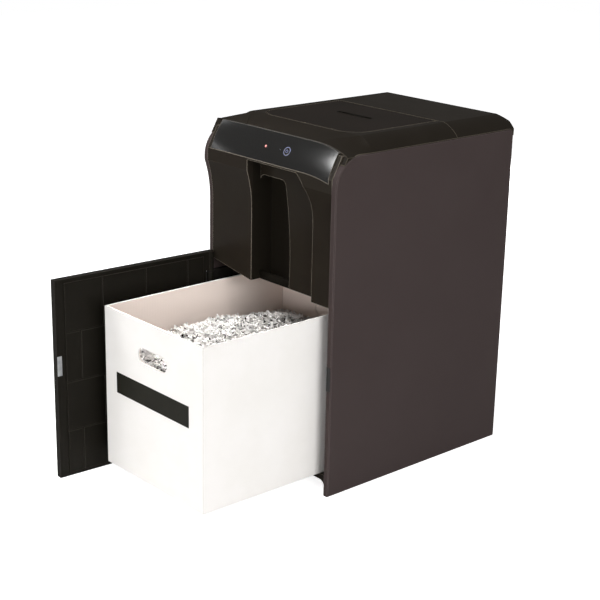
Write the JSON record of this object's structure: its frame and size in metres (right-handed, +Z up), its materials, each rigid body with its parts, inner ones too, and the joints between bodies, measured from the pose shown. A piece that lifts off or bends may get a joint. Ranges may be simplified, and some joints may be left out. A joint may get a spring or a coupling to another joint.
{
  "type": "paper shredder",
  "caption": "Cabinet paper shredder with a lidded auto-feed tray, gloss control fascia, hinged front door and a pull-out carton heaped with cut paper.",
  "frame": {"origin": "centre of the cabinet's footprint on the floor", "axes": "+Z up, -Y towards the door and the user, +X to the right seen from the front"},
  "size_m": [0.4041, 0.8555, 0.7],
  "materials": {
    "side_panels": "matte",
    "shell": "matte",
    "gloss": "gloss",
    "button": "gloss",
    "lid": "matte",
    "door": "matte",
    "steel": "satin",
    "gears": "satin",
    "combs": "matte",
    "roller_rubber": "matte",
    "motor_case": "satin",
    "board": "matte",
    "shreds": "matte",
    "inlet": "satin"
  },
  "bodies": {
    "cabinet": {"base_tray": "shell", "control_fascia": "gloss", "cutter_frame_left": "steel", "cutter_frame_right": "steel", "door_hinge_lower": "steel", "door_hinge_upper": "steel", "door_keeper": "shell", "head_floor": "shell", "head_front": "shell", "left_side_panel": "side_panels", "lid_pin_left": "steel", "lid_pin_right": "steel", "mains_inlet": "inlet", "motor": "motor_case", "paper_tray": "shell", "rear_panel": "shell", "right_side_panel": "side_panels", "stripper_comb_front": "combs", "stripper_comb_rear": "combs", "tie_rod_front": "steel", "tie_rod_rear": "steel", "top_frame": "shell", "top_rear_cover": "shell"},
    "door": {"door_leaf": "door", "door_liner": "door", "door_strike": "steel"},
    "bin": {"carton": "board", "shred_heap": "shreds"},
    "lid": {"lid_shell": "lid", "lid_pressure_plate": "lid"},
    "cutter_front": {"cutter_front": "steel", "timing_gear_front": "gears", "drive_gear": "gears"},
    "cutter_rear": {"cutter_rear": "steel", "timing_gear_rear": "gears"},
    "feed_roller": {"feed_shaft": "steel", "feed_gear": "gears", "feed_sleeve_left": "roller_rubber", "feed_sleeve_middle": "roller_rubber", "feed_sleeve_right": "roller_rubber"},
    "motor_rotor": {"motor_pinion": "steel"},
    "power_button": {"power_button": "button"},
    "rocker": {"rocker_switch": "inlet"}
  },
  "joints": [
    {"name": "door_hinge", "type": "hinge", "parent": "cabinet", "child": "door", "pos_m": [-0.181, -0.241, 0.2], "axis": [0, 0, -1], "range_deg": [-6, 17]},
    {"name": "bin_slide", "type": "slide", "parent": "cabinet", "child": "bin", "axis": [0, -1, 0], "range_m": [-0.29, 0.1]},
    {"name": "lid_hinge", "type": "hinge", "parent": "cabinet", "child": "lid", "pos_m": [0, 0.071, 0.695], "axis": [-1, 0, 0], "range_deg": [0, 75]},
    {"name": "cutter_front_spin", "type": "hinge", "parent": "cabinet", "child": "cutter_front", "pos_m": [0, -0.034, 0.53], "axis": [1, 0, 0], "continuous": true},
    {"name": "cutter_rear_spin", "type": "hinge", "parent": "cabinet", "child": "cutter_rear", "pos_m": [0, 0, 0.53], "axis": [1, 0, 0], "continuous": true},
    {"name": "feed_roller_spin", "type": "hinge", "parent": "cabinet", "child": "feed_roller", "pos_m": [0, -0.034, 0.58], "axis": [1, 0, 0], "continuous": true},
    {"name": "motor_spin", "type": "hinge", "parent": "cabinet", "child": "motor_rotor", "pos_m": [0, 0.043, 0.47608], "axis": [1, 0, 0], "continuous": true},
    {"name": "power_button_press", "type": "slide", "parent": "cabinet", "child": "power_button", "axis": [0, 0.8712, -0.491], "range_m": [0, 0.001], "stiffness_N_per_m": 600},
    {"name": "rocker_tilt", "type": "hinge", "parent": "cabinet", "child": "rocker", "pos_m": [0.158, 0.245, 0.4495], "axis": [-1, 0, 0], "range_deg": [0, 14]}
  ],
  "couplings": [
    {"joint": "cutter_rear_spin", "follows": "cutter_front_spin", "ratio": -1},
    {"joint": "feed_roller_spin", "follows": "cutter_front_spin", "ratio": -0.51515},
    {"joint": "motor_spin", "follows": "cutter_front_spin", "ratio": -5.7143}
  ]
}
